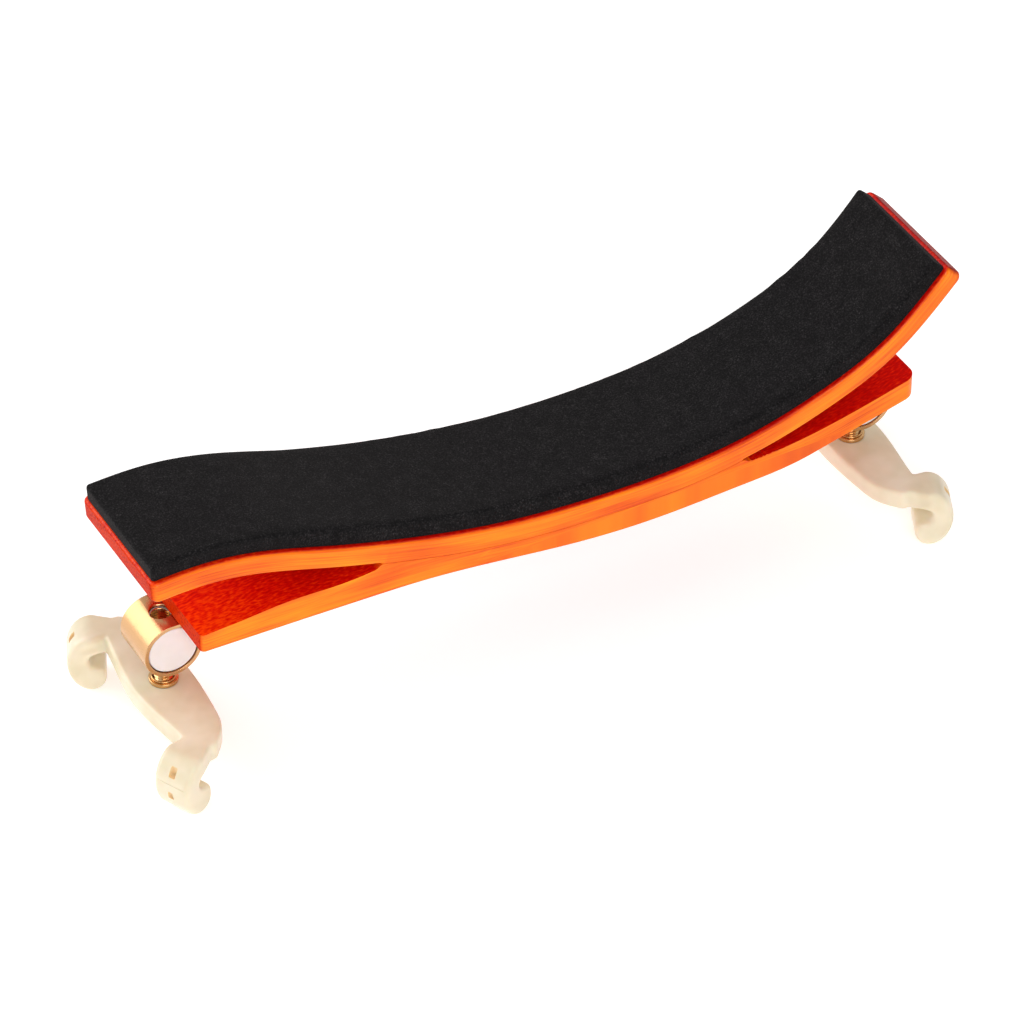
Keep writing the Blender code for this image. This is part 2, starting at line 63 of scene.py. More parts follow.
# %% Camera
LENS = 189.84  # mm, on a sensor 36 mm wide
DISTANCE = 1.370
AZIMUTH = math.radians(-29.0)
ELEVATION = math.radians(39.5)
ASIDE = Vector((-2.56, 22.85)) * MM  # how far the rest stands off the middle of the frame

back = Vector((math.sin(AZIMUTH) * math.cos(ELEVATION),
               -math.cos(AZIMUTH) * math.cos(ELEVATION), math.sin(ELEVATION)))
right = Vector((math.cos(AZIMUTH), math.sin(AZIMUTH), 0))
up = back.cross(right)
lens = bpy.data.cameras.new("product_camera")
lens.lens = LENS
lens.sensor_width = 36
camera = bpy.data.objects.new("product_camera", lens)
bpy.context.scene.collection.objects.link(camera)
turn = Matrix((right, up, back)).transposed().to_4x4()
place = back * DISTANCE + right * ASIDE.x + up * ASIDE.y
camera.matrix_world = Matrix.Translation(place) @ turn
bpy.context.scene.camera = camera
print("camera at", [round(v, 3) for v in place])

# %% [markdown]
# Colours are written as sRGB hex values, which is how a maker would match a swatch. Blender
# shades in linear light, so one function turns them. Another adds a shader node, sets its
# values and makes its links, and a few short ones make the nodes that every finish needs,
# so that each finish below reads as a recipe.

# %% Colours and shader nodes
def colour(swatch):
    """An sRGB hex value as a linear colour."""
    shares = [int(swatch[i:i + 2], 16) / 255 for i in (0, 2, 4)]
    linear = [c / 12.92 if c <= 0.04045 else ((c + 0.055) / 1.055) ** 2.4 for c in shares]
    return (*linear, 1.0)


def put(tree, kind, inputs=None, **settings):
    """Add a shader node. An input is a value, or the output socket that feeds it."""
    node = tree.nodes.new(kind)
    for name, value in settings.items():
        setattr(node, name, value)
    for name, value in (inputs or {}).items():
        if isinstance(value, bpy.types.NodeSocket):
            tree.links.new(value, node.inputs[name])
        else:
            node.inputs[name].default_value = value
    return node


def start_finish(name, **values):
    """A new material, its tree and its Principled shader with some values set."""
    made = bpy.data.materials.new(name)
    made.use_nodes = True
    shader = made.node_tree.nodes["Principled BSDF"]
    for socket, value in values.items():
        shader.inputs[socket.replace("_", " ")].default_value = value
    return made, made.node_tree, shader


def ramp(tree, share, stops):
    """A colour ramp through (place, hex) stops."""
    node = put(tree, "ShaderNodeValToRGB", {"Fac": share})
    marks = node.color_ramp.elements
    for mark, (spot, swatch) in zip([marks[0], marks[1]], (stops[0], stops[-1])):
        mark.position = spot
        mark.color = colour(swatch)
    for spot, swatch in stops[1:-1]:
        marks.new(spot).color = colour(swatch)
    return node.outputs["Color"]


def noise(tree, place, scale, detail, roughness=0.5, distortion=0.0):
    """The grey value of a noise pattern at a place."""
    return put(tree, "ShaderNodeTexNoise", {
        "Vector": place, "Scale": scale, "Detail": detail, "Roughness": roughness,
        "Distortion": distortion}).outputs["Fac"]


def stretched(tree, place, scale):
    """A place multiplied along each axis."""
    return put(tree, "ShaderNodeMapping", {
        "Vector": place, "Scale": scale}).outputs["Vector"]


def worked_out(tree, operation, *terms):
    """One step of arithmetic on sockets and numbers."""
    return put(tree, "ShaderNodeMath", dict(enumerate(terms)),
               operation=operation).outputs[0]


def read(tree, name, output="Fac"):
    """An attribute that a mesh carries."""
    return put(tree, "ShaderNodeAttribute", attribute_name=name).outputs[output]


def emboss(tree, shader, height, strength, depth):
    """Let a pattern tilt the shading, as fine relief does."""
    relief = put(tree, "ShaderNodeBump", {
        "Height": height, "Strength": strength, "Distance": depth})
    tree.links.new(relief.outputs["Normal"], shader.inputs["Normal"])

# %% [markdown]
# The stage is a pale table that gives off a little light of its own, under a white sky that
# darkens towards the horizon, so that the brass has something dark to mirror. A panel
# behind, on the left, gives the broad shine on the rings, and one beside the camera lights
# the front faces. The panels are large for so small an object, so their shadows have no
# hard edges. The standard view keeps the strong orange of the lacquer, which a filmic one
# would wash out.

# %% Floor, sky and panels
FLOOR_SIZE = 3.0
SKY_STRENGTH = 0.74
TABLE_GLOW = 0.3
AIM = Vector((0, 0, 0.04))  # the middle of the rest, which the panels face
bpy.context.scene.view_settings.view_transform = 'Standard'


def area_light(name, spot, size, power):
    """A square panel that faces the middle of the rest."""
    lamp = bpy.data.lights.new(name, 'AREA')
    lamp.shape = 'SQUARE'
    lamp.size = size
    lamp.energy = power
    holder = bpy.data.objects.new(name, lamp)
    bpy.context.scene.collection.objects.link(holder)
    aim = (AIM - Vector(spot)).to_track_quat('-Z', 'Y')
    holder.matrix_world = Matrix.Translation(spot) @ aim.to_matrix().to_4x4()


area_light("front_panel", (-0.25, -0.9, 0.6), 0.7, 5.0)
area_light("back_panel", (-0.75, 0.78, 0.5), 1.0, 8.0)

sky = bpy.data.worlds.new("white_sky")
sky.use_nodes = True
air = sky.node_tree
way = put(air, "ShaderNodeTexCoord").outputs["Generated"]
height = put(air, "ShaderNodeSeparateXYZ", {"Vector": way}).outputs["Z"]
dome = ramp(air, height, ((0.0, "6A625C"), (0.3, "D8D6D4"), (0.6, "FFFFFF")))
backdrop = air.nodes["Background"]
air.links.new(dome, backdrop.inputs["Color"])
backdrop.inputs["Strength"].default_value = SKY_STRENGTH
bpy.context.scene.world = sky

floor_shape = bmesh.new()
bmesh.ops.create_grid(floor_shape, x_segments=1, y_segments=1, size=FLOOR_SIZE)
floor_mesh = bpy.data.meshes.new("studio_floor")
floor_shape.to_mesh(floor_mesh)
floor_shape.free()
studio_floor = bpy.data.objects.new("studio_floor", floor_mesh)
bpy.context.scene.collection.objects.link(studio_floor)
table, _, _ = start_finish("lit_white_table", Base_Color=colour("FAFAF9"), Roughness=0.9,
                           Emission_Color=(1, 1, 1, 1), Emission_Strength=TABLE_GLOW)
floor_mesh.materials.append(table)

# %% [markdown]
# Lacquered maple. The plates are stained maple under a clear lacquer. The stain sinks deep
# into the broad faces, which come out red, and less into the sides, which stay orange. The
# grain runs along each plate, so the pattern reads an attribute called plank: how far along
# the plate a point is, across it, and into it. Two more attributes say how much a point
# faces the side or the end, and another carries painted light: the broad faces and ends are
# painted lighter and more orange near the left end, fading to deep red towards the root.
# Long noise makes the grain, short noise the flecks that maple has, and a slow one the
# uneven stain. The lacquer is a clear coat of its own, smooth over the fine grain beneath.
# End grain drinks it, so the ends shine less.

# %% Maple finish
GRAIN_WIDTH = 0.45 * MM
GRAIN_LENGTH = 22 * MM
FLECK = 0.6 * MM
STAIN_PATCH = 14 * MM


def lacquered_maple():
    """Stained maple under clear lacquer: red broad faces, orange sides, darker ends."""
    made, tree, shader = start_finish("stained_maple_clear_lacquer", Roughness=0.4,
                                      IOR=1.5, Coat_Roughness=0.1)
    plank = read(tree, "plank", "Vector")
    grain = noise(tree, stretched(tree, plank, (
        1 / GRAIN_LENGTH, 1 / (2.2 * GRAIN_WIDTH), 1 / GRAIN_WIDTH)), 1.0, 4.0, 0.6, 0.4)
    fleck = noise(tree, stretched(tree, plank, (
        1 / (2.5 * FLECK), 1 / FLECK, 1 / FLECK)), 1.0, 1.5, 0.45)
    patch = noise(tree, stretched(tree, plank, (
        0.6 / STAIN_PATCH, 1 / STAIN_PATCH, 3 / STAIN_PATCH)), 1.0, 1.0)

    slow = worked_out(tree, 'MULTIPLY', patch, 0.5)
    side_tone = worked_out(tree, 'MULTIPLY_ADD', grain, 0.6, slow)
    side_colour = ramp(tree, side_tone, (
        (0.40, "D84A06"), (0.49, "F06600"), (0.58, "F87800"), (0.72, "FF9000")))
    # Painted light: the broad faces and ends are lighter and more orange near the left end,
    # fading towards the root; it is added to the real maple flecks.
    flecks_and_painted_light = worked_out(tree, 'MULTIPLY_ADD', read(tree, "left_end_painted_light"), 0.26, fleck)
    face_share = worked_out(tree, 'MULTIPLY_ADD', patch, 0.3, flecks_and_painted_light)
    face_colour = ramp(tree, face_share, (
        (0.45, "BE0300"), (0.66, "D20A00"), (0.82, "E42200"), (1.0, "F44600")))
    end_colour = ramp(tree, face_share, (
        (0.50, "7A0300"), (0.72, "A41000"), (0.95, "CC3000")))

    # Sockets 6 and 7 of this node are the two colours, and output 2 is their mix.
    end = read(tree, "end_share")
    face_or_end = put(tree, "ShaderNodeMix", {
        0: end, 6: face_colour, 7: end_colour}, data_type='RGBA').outputs[2]
    stained = put(tree, "ShaderNodeMix", {
        0: read(tree, "side_share"), 6: face_or_end, 7: side_colour}, data_type='RGBA')
    tree.links.new(stained.outputs[2], shader.inputs["Base Color"])
    for socket, on_face in (("Coat Weight", 0.2), ("Specular IOR Level", 0.12)):
        shine = put(tree, "ShaderNodeMapRange", {
            "Value": end, "To Min": on_face, "To Max": 0.02})
        tree.links.new(shine.outputs["Result"], shader.inputs[socket])
    emboss(tree, shader, grain, 0.35, 0.06 * MM)
    return made


maple = lacquered_maple()

# %% [markdown]
# Foam. The pad is closed-cell foam with a napped face, like fine suede. Its colour is nearly
# black everywhere, so what shows is the nap: a grey sheen at its rounded edges and a fine
# mottle. Real cells are about 0.2 mm; they are drawn at 0.4 mm so that they show.

# %% Foam finish
CELL = 0.42 * MM


def napped_foam():
    """Black closed-cell foam with a napped face."""
    made, tree, shader = start_finish("napped_black_foam", Roughness=0.95, IOR=1.45,
                                      Specular_IOR_Level=0.12, Sheen_Weight=0.12,
                                      Sheen_Roughness=0.5, Sheen_Tint=colour("9A9290"))
    spot = put(tree, "ShaderNodeTexCoord").outputs["Object"]
    cells = noise(tree, spot, 1 / CELL, 3.0, 0.7)
    nap = noise(tree, spot, 1 / (9 * CELL), 4.0, 0.65)
    black = ramp(tree, worked_out(tree, 'MULTIPLY_ADD', nap, 0.25, cells), (
        (0.48, "090809"), (0.62, "121112"), (0.74, "232122"), (0.84, "383536")))
    tree.links.new(black, shader.inputs["Base Color"])
    emboss(tree, shader, cells, 0.7, 0.12 * MM)
    return made


foam = napped_foam()

# %% [markdown]
# Brass. The strap is rolled from brass strip and lightly brushed, so its shine is drawn out
# along the strip. Fine noise stretched across the brush lines changes the roughness and
# tilts the surface a little. The turned pieces have their lines round them instead, which
# is the same finish with the stretch along another axis.

# %% Brass finishes
BRUSH_LINE = 0.18 * MM
HANDLED_PATCH = 3 * MM


def brushed_brass(name, swatch, roughness, stretch):
    """Brass with fine tool lines. The stretch is how long the lines are along each axis."""
    made, tree, shader = start_finish(name, Base_Color=colour(swatch), Metallic=1.0)
    spot = put(tree, "ShaderNodeTexCoord").outputs["Object"]
    lines = noise(tree, stretched(tree, spot, tuple(
        1 / (BRUSH_LINE * s) for s in stretch)), 1.0, 3.0, 0.6)
    handled = noise(tree, spot, 1 / HANDLED_PATCH, 2.0)
    gloss = put(tree, "ShaderNodeMapRange", {
        "Value": worked_out(tree, 'MULTIPLY', lines, handled), "From Min": 0.1,
        "From Max": 0.5, "To Min": roughness * 0.75, "To Max": roughness * 1.35})
    tree.links.new(gloss.outputs["Result"], shader.inputs["Roughness"])
    emboss(tree, shader, lines, 0.3, 0.02 * MM)
    return made


strap_brass = brushed_brass("brushed_brass_strip", "CDA173", 0.24, (6, 1, 6))
turned_brass = brushed_brass("turned_brass", "DDB27C", 0.2, (5, 5, 1))
screw_brass = brushed_brass("brass_plated_screw", "D9B27A", 0.28, (3, 3, 1))

# %% [markdown]
# Plastics. The barrel is turned from white nylon and the feet are moulded in an ivory
# plastic. Both let a little light in, which softens their shading and warms their thin
# edges. The moulding is glossy with a faint unevenness that a mould leaves. The stiff core
# inside a foot shows amber at the bottom of the small marks where pins held it.

# %% Plastic finishes
MOULD_CLOUD = 7 * MM
MOULD_RIPPLE = 1.5 * MM


def moulded_plastic(name, low, high, roughness, depth):
    """A plastic that lets light in to a depth, in two close tones."""
    made, tree, shader = start_finish(
        name, Roughness=roughness, IOR=1.5, Subsurface_Weight=0.35,
        Subsurface_Radius=(1.0, 0.6, 0.35), Subsurface_Scale=depth)
    spot = put(tree, "ShaderNodeTexCoord").outputs["Object"]
    cloud = noise(tree, spot, 1 / MOULD_CLOUD, 2.0)
    tone = ramp(tree, cloud, ((0.3, low), (0.7, high)))
    tree.links.new(tone, shader.inputs["Base Color"])
    emboss(tree, shader, noise(tree, spot, 1 / MOULD_RIPPLE, 1.0), 0.15, 0.03 * MM)
    return made


ivory = moulded_plastic("moulded_ivory_plastic", "DBCFB0", "E8DDC4", 0.28, 1.6 * MM)
nylon = moulded_plastic("turned_white_nylon", "E2DAD6", "EAE3E0", 0.4, 1.2 * MM)
amber = moulded_plastic("amber_nylon_core", "E2C290", "ECD0A2", 0.4, 1.5 * MM)
glue = moulded_plastic("tape_adhesive", "B8B0A0", "C8C0B0", 0.6, 0.3 * MM)
for side in SIDES:
    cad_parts[f"{side}_foot_core"].material_slots[0].material = amber
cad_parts["pad_tape"].material_slots[0].material = glue

# %% [markdown]
# Shapes start as bmeshes. These helpers are the few moves that many pieces share: a prism
# drawn from an outline, a turned solid, rounded edges, and a cut with an exact Boolean. A
# finished piece stands at the origin with its place in its mesh, rides on a body of the
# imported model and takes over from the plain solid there.

# %% Shape helpers
def arc(centre, radius, start, end, count):
    """Points along an arc in a plane, from a start to an end angle in degrees."""
    angles = np.radians(np.linspace(start, end, count))
    return [(centre[0] + radius * math.cos(a), centre[1] + radius * math.sin(a))
            for a in angles]


def drawn(outline, low, high, upright=False):
    """An outline drawn through: in XZ along Y, or in XY along Z if upright."""
    shape = bmesh.new()
    if upright:
        corners = [shape.verts.new((a, b, low)) for a, b in outline]
        travel = Vector((0, 0, high - low))
    else:
        corners = [shape.verts.new((a, low, b)) for a, b in outline]
        travel = Vector((0, high - low, 0))
    base = shape.faces.new(corners)
    grown = bmesh.ops.extrude_face_region(shape, geom=[base], use_keep_orig=True)
    moved = [v for v in grown["geom"] if isinstance(v, bmesh.types.BMVert)]
    bmesh.ops.translate(shape, verts=moved, vec=travel)
    bmesh.ops.recalc_face_normals(shape, faces=shape.faces)
    return shape


def turned(profile, steps):
    """A solid of revolution about Z. A profile off the axis is closed into a ring."""
    shape = bmesh.new()
    verts = [shape.verts.new((radius, 0, z)) for radius, z in profile]
    run = verts if profile[0][0] == 0 else verts + verts[:1]
    edges = [shape.edges.new(pair) for pair in zip(run, run[1:])]
    bmesh.ops.spin(shape, geom=verts + edges, axis=(0, 0, 1), cent=(0, 0, 0),
                   angle=2 * math.pi, steps=steps, use_merge=True)
    bmesh.ops.remove_doubles(shape, verts=shape.verts, dist=0.002 * MM)
    bmesh.ops.recalc_face_normals(shape, faces=shape.faces)
    return shape


def rounded(shape, width, segments, keep=None, least=40):
    """Round the edges sharper than an angle, or only those that a test keeps."""
    sharp = [e for e in shape.edges if e.calc_face_angle(0) > math.radians(least)]
    if keep:
        sharp = [e for e in sharp if keep(e)]
    bmesh.ops.bevel(shape, geom=sharp, offset=width, segments=segments, profile=0.5,
                    affect='EDGES', clamp_overlap=True, material=-1)
    return shape


def shade(mesh, crease=35):
    """Shade a mesh smooth, and keep edges that turn more than some degrees sharp."""
    mesh.shade_smooth()
    mesh.set_sharp_from_angle(angle=math.radians(crease))


def to_object(name, shape, *finishes):
    """A bmesh as an object at the origin, smooth with sharp creases kept."""
    mesh = bpy.data.meshes.new(name)
    shape.to_mesh(mesh)
    shape.free()
    shade(mesh)
    for finish in finishes:
        mesh.materials.append(finish)
    made = bpy.data.objects.new(name, mesh)
    bpy.context.scene.collection.objects.link(made)
    return made


def settle(piece):
    """Apply a piece's modifiers to its mesh."""
    graph = bpy.context.evaluated_depsgraph_get()
    done = bpy.data.meshes.new_from_object(piece.evaluated_get(graph), depsgraph=graph)
    piece.modifiers.clear()
    piece.data = done


def carve(piece, *shapes, operation='DIFFERENCE'):
    """Cut shapes out of a piece, or join them on, and keep only the result."""
    for shape in shapes:
        tool = to_object("tool", shape, *piece.data.materials)
        cut = piece.modifiers.new("cut", 'BOOLEAN')
        cut.operation = operation
        cut.solver = 'EXACT'
        cut.object = tool
        settle(piece)
        bpy.data.objects.remove(tool)


def placed(shape, matrix):
    """A shape moved to its place."""
    bmesh.ops.transform(shape, matrix=matrix, verts=shape.verts)
    return shape


def even_normals(piece):
    """Let the large faces set the shading, so that flats look flat beside round edges."""
    weigh = piece.modifiers.new("even_normals", 'WEIGHTED_NORMAL')
    weigh.keep_sharp = True


def seat(piece, body, node):
    """Say which body a piece rides on and which plain solid it stands for."""
    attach(piece, body)
    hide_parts(node)
    print(f"{piece.name}: {len(piece.data.polygons)} faces, for {node}")

# %% [markdown]
# The curve of the plates. Both plates follow smooth curves that a few heights fix. A cubic
# spline through them bends least, as a thin lath held at those places would, so it looks
# right with few points. Heights are measured from the axis of the rings and places from the
# nearer stud, which is how the rest is set out.

# %% The curves
stud = {side: sum(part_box(f"{side}_stud"), Vector()) / 2 for side in SIDES}
AXIS = 31.1 * MM
PLATE_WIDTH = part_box("lower_plate")[1].y * 2
UPPER_THICKNESS = 5.7 * MM


def set_out(side, knots):
    """Knots given in mm from a stud and from the rings' axis, in metres."""
    return [(stud[side].x + x * MM, AXIS + z * MM) for x, z in knots]


def spline(knots, start_slope=None, end_slope=None):
    """The height of a cubic spline through (x, z) knots, as a function of x."""
    x, z = np.array(knots).T
    step = np.diff(x)
    rise = np.diff(z) / step
    count = len(x)
    matrix = np.zeros((count, count))
    target = np.zeros(count)
    for i in range(1, count - 1):
        matrix[i, i - 1:i + 2] = (step[i], 2 * (step[i - 1] + step[i]), step[i - 1])
        target[i] = 3 * (rise[i - 1] * step[i] + rise[i] * step[i - 1])
    matrix[0, :2] = (2, 1) if start_slope is None else (1, 0)
    target[0] = 3 * rise[0] if start_slope is None else start_slope
    matrix[-1, -2:] = (1, 2) if end_slope is None else (0, 1)
    target[-1] = 3 * rise[-1] if end_slope is None else end_slope
    slope = np.linalg.solve(matrix, target)

    def height(at):
        i = int(np.clip(np.searchsorted(x, at) - 1, 0, count - 2))
        t = (at - x[i]) / step[i]
        return float(z[i] * (1 + 2 * t) * (1 - t) ** 2 + z[i + 1] * t * t * (3 - 2 * t)
                     + step[i] * slope[i] * t * (1 - t) ** 2
                     - step[i] * slope[i + 1] * t * t * (1 - t))

    return height


upper_knots = set_out("left", (
    (-10.4, 33.7), (3.7, 34.0), (18.7, 31.7), (38.7, 25.5), (58.7, 19.8), (83.7, 14.5)))
upper_knots += set_out("right", (
    (-88.7, 12.1), (-70.7, 11.7), (-53.7, 12.7), (-36.7, 15.7), (-18.7, 21.6),
    (-1.7, 30.8), (14.4, 46.8)))
upper_height = spline(upper_knots)
fine_x = np.linspace(upper_knots[0][0], upper_knots[-1][0], 900)
fine_z = np.array([upper_height(x) for x in fine_x])
fine_run = np.concatenate(([0], np.cumsum(np.hypot(np.diff(fine_x), np.diff(fine_z)))))
UPPER_LENGTH = fine_run[-1]
print(f"upper plate is {UPPER_LENGTH / MM:.1f} mm long round its curve")


def bend(point):
    """Take a point from a flat plate, as (along, across, above its top), to the curve."""
    along = point.x
    x = np.interp(along, fine_run, fine_x)
    z = np.interp(along, fine_run, fine_z)
    reach = 0.5 * MM
    run_x = np.interp(along + reach, fine_run, fine_x) - np.interp(along - reach, fine_run,
                                                                   fine_x)
    run_z = np.interp(along + reach, fine_run, fine_z) - np.interp(along - reach, fine_run,
                                                                   fine_z)
    level = Vector((run_x, 0, run_z)).normalized()
    return Vector((x - level.z * point.z, point.y, z + level.x * point.z))

# %% [markdown]
# The upper plate was pressed to its curve from flat stock, so it is modelled flat and then
# bent. A box is cut across into many short lengths, its corners are rounded in plan, and its
# long edges get a smaller round, except where the lower plate is glued on and the joint is
# flush. The flat coordinates are kept as the plank attribute before the bend, so the grain
# runs true round the curve.

# %% Upper plate
LEFT_ROOT = stud["left"].x + 50.2 * MM
RIGHT_ROOT = stud["right"].x - 44.0 * MM
CORNER_ROUND = 2.0 * MM
LONG_EDGE_ROUND = 0.8 * MM
PAINTED_LIGHT_REACH = 38 * MM  # how far in from the left end the broad faces get painted light
UPPER_SLICES = 180


def note_grain(shape, plank_of):
    """Keep each point's place on its plank, which way it faces, and its painted light near
    the left end.
    """
    plank = shape.verts.layers.float_vector.new("plank")
    side_share = shape.verts.layers.float.new("side_share")
    end_share = shape.verts.layers.float.new("end_share")
    left_end_painted_light = shape.verts.layers.float.new("left_end_painted_light")
    shape.normal_update()
    for vert in shape.verts:
        vert[plank] = plank_of(vert.co)
        # Painted light: full at the left end, fading to none at the reach set above.
        vert[left_end_painted_light] = min(max(1 - vert[plank].x / PAINTED_LIGHT_REACH, 0), 1)
        vert[side_share] = min(max((abs(vert.normal.y) - 0.35) / 0.5, 0), 1)
        vert[end_share] = min(max((abs(vert.normal.x) - 0.6) / 0.3, 0), 1)


def sliced(shape, axis, places):
    """Cut a shape across at some places along an axis, and keep both sides."""
    normal = Vector([0, 0, 0])
    normal[axis] = 1
    for place in places:
        bmesh.ops.bisect_plane(shape, geom=shape.verts[:] + shape.edges[:] + shape.faces[:],
                               plane_co=normal * place, plane_no=normal)
    return shape


def flat_board(length, width, low, high, corner, far_corner):
    """A flat board from 0 along X, with its corners at each end rounded in plan."""
    outline = []
    for start in (0, 90, 180, 270):
        far = start in (0, 270)
        reach = far_corner if far else corner
        x = length - reach if far else reach
        y = (width / 2 - reach) * (1 if start < 180 else -1)
        outline += arc((x, y), reach, start, start + 90, 9)
    return drawn(outline, low, high, upright=True)


def build_upper_plate():
    """The long plate, flat and then bent."""
    shape = flat_board(UPPER_LENGTH, PLATE_WIDTH, -UPPER_THICKNESS, 0, CORNER_ROUND,
                       CORNER_ROUND)
    roots = [along for along in np.linspace(0, UPPER_LENGTH, 800)
             if LEFT_ROOT < bend(Vector((along, 0, -UPPER_THICKNESS))).x < RIGHT_ROOT]
    sliced(shape, 0, (roots[0], roots[-1]))

    def is_free(edge):
        middle = (edge.verts[0].co + edge.verts[1].co) / 2
        glued = roots[0] < middle.x < roots[-1]
        return not (glued and middle.z < -UPPER_THICKNESS / 2)

    rounded(shape, LONG_EDGE_ROUND, 4, is_free)
    sliced(shape, 0, np.linspace(0, UPPER_LENGTH, UPPER_SLICES)[1:-1])
    bmesh.ops.triangulate(shape, faces=[f for f in shape.faces if len(f.verts) > 4])
    note_grain(shape, lambda place: place.copy())
    for vert in shape.verts:
        vert.co = bend(vert.co)
    piece = to_object("pressed_upper_plate", shape, maple)
    even_normals(piece)
    seat(piece, "rest", "upper_plate")


build_upper_plate()

# %% [markdown]
# The lower plate tapers, so it is drawn from its side outline instead: along the top of each
# fork, up the small step at the fork's root, along the glued seam and back underneath. Where
# the right fork was split by hand its front edge is ragged, so a few millimetres of that
# edge are pushed about at random, with a fixed seed.

# %% Lower plate
RING_RADIUS = 7.75 * MM
CLEARANCE = 0.3 * MM
TILT = {"left": math.radians(1.5), "right": math.radians(14.0)}
FORK_STEP = 1.1 * MM
FORK_STEP_RUN = 1.8 * MM
GLUE_LINE = 0.11 * MM
LOWER_CORNER_ROUNDS = (1.3 * MM, 3.0 * MM)  # at the left and the right end
LOWER_EDGE_ROUND = 0.6 * MM
BELLY_EDGE_ROUND = 1.3 * MM
TONGUE_SEAT = 24 * MM
FRAY_LENGTH = 14 * MM
FRAY_DEPTH = 1.1 * MM
TORN_FIBRES = 40
LEFT_END = stud["left"].x + 1.6 * MM
RIGHT_END = stud["right"].x + 6.4 * MM


def under_tongue(side, inboard):
    """Height of the plate's underside over a tongue, a distance inboard of its stud."""
    tilt = TILT[side]
    return AXIS + (RING_RADIUS + CLEARANCE) / math.cos(tilt) - math.tan(tilt) * inboard


left_seat = (stud["left"].x + TONGUE_SEAT, under_tongue("left", TONGUE_SEAT))
right_seat = (stud["right"].x - TONGUE_SEAT, under_tongue("right", TONGUE_SEAT))
belly = spline([left_seat] + set_out("left", ((44.7, 6.8), (63.7, 5.9), (83.4, 3.6)))
               + set_out("right", ((-91.3, 0.6), (-68.7, -0.6), (-44.7, 0.2)))
               + [right_seat], -math.tan(TILT["left"]), math.tan(TILT["right"]))


def underside(x):
    """Height of the lower plate's underside."""
    if x < left_seat[0]:
        return under_tongue("left", x - stud["left"].x)
    if x > right_seat[0]:
        return under_tongue("right", stud["right"].x - x)
    return belly(x)


def lower_outline():
    """The side outline, from the left end over the top and back underneath."""
    seam = [bend(Vector((along, 0, -UPPER_THICKNESS - GLUE_LINE)))
            for along in np.linspace(0, UPPER_LENGTH, 260)]
    seam = [(p.x, p.z) for p in seam if LEFT_ROOT < p.x < RIGHT_ROOT]
    left_root = (seam[0][0] - FORK_STEP_RUN, seam[0][1] - FORK_STEP)
    right_root = (seam[-1][0] + FORK_STEP_RUN, seam[-1][1] - FORK_STEP / 2)
    left_top = spline([(LEFT_END, AXIS + 13.2 * MM)]
                      + set_out("left", ((13.0, 13.8), (27.0, 14.6), (41.0, 14.2)))
                      + [left_root])
    right_top = spline([right_root]
                       + set_out("right", ((-34.0, 7.7), (-22.0, 9.2), (-9.0, 12.0)))
                       + [(RIGHT_END, AXIS + 16.0 * MM)])
    left = [(x, left_top(x)) for x in np.linspace(LEFT_END, left_root[0], 30)]
    right = [(x, right_top(x)) for x in np.linspace(right_root[0], RIGHT_END, 110)]
    below = [(x, underside(x)) for x in np.linspace(RIGHT_END, LEFT_END, 130)]
    return left + seam + right + below


def fray(shape, start, length, depth):
    """Push the front top edge of the fork about, as torn fibres stand."""
    teeth = np.random.default_rng(4).random(TORN_FIBRES)
    front = -PLATE_WIDTH / 2
    for vert in shape.verts:
        along = (vert.co.x - start) / length
        high = vert.co.z - underside(vert.co.x) > 4.5 * MM
        if 0 < along < 1 and high and vert.co.y < front + LOWER_EDGE_ROUND + 0.05 * MM:
            pull = depth * (1 - along) * teeth[int(along * len(teeth))]
            vert.co += Vector((0, pull * 0.4, -pull))


def build_lower_plate():
    """The tapering plate that carries the straps."""
    shape = drawn(lower_outline(), -PLATE_WIDTH / 2, PLATE_WIDTH / 2)
    piece = to_object("tapered_lower_plate", shape, maple)
    plan = flat_board(RIGHT_END - LEFT_END, PLATE_WIDTH, 0, 0.1, *LOWER_CORNER_ROUNDS)
    carve(piece, placed(plan, Matrix.Translation((LEFT_END, 0, 0))), operation='INTERSECT')
    shape = bmesh.new()
    shape.from_mesh(piece.data)
    bmesh.ops.remove_doubles(shape, verts=shape.verts, dist=0.01 * MM)

    def is_free(edge):
        middle = (edge.verts[0].co + edge.verts[1].co) / 2
        glued = LEFT_ROOT - FORK_STEP_RUN < middle.x < RIGHT_ROOT + FORK_STEP_RUN
        upright = abs(edge.verts[0].co.z - edge.verts[1].co.z) > 3 * MM
        return not upright and not (glued and middle.z > underside(middle.x) + 3 * MM)

    def is_below(edge):
        middle = (edge.verts[0].co + edge.verts[1].co) / 2
        return is_free(edge) and middle.z < underside(middle.x) + 0.5 * MM

    rounded(shape, BELLY_EDGE_ROUND, 5, is_below, least=50)
    rounded(shape, LOWER_EDGE_ROUND, 4, is_free, least=50)
    note_grain(shape, lambda at: Vector((at.x - LEFT_END, at.y, at.z - underside(at.x))))
    fray(shape, RIGHT_ROOT, FRAY_LENGTH, FRAY_DEPTH)
    shape.to_mesh(piece.data)
    shape.free()
    shade(piece.data)
    even_normals(piece)
    seat(piece, "rest", "lower_plate")


build_lower_plate()

# %% [markdown]
# The pad is cut from foam sheet and stuck down, so it too is made flat and bent. Its top
# edge is rounded over and its face swells a little between its edges. A short cloth
# simulation with a little air in it gives that swell, with the underside held still and the
# movement capped, because foam keeps its thickness.

# %% Foam pad
PAD_THICKNESS = 4.2 * MM
PAD_LIFT = 1.0 * MM
PAD_SINK = 0.7 * MM  # how far the pad settles over its tape, below its plain solid
PAD_SIDE_INSET = 1.3 * MM
PAD_END_INSET = 0.8 * MM
PAD_EDGE_ROUND = 1.1 * MM
PAD_CORNER_ROUND = 0.9 * MM
SWELL_CAP = 0.35 * MM
SWELL_PRESSURE = 4.0
SWELL_FRAMES = 20


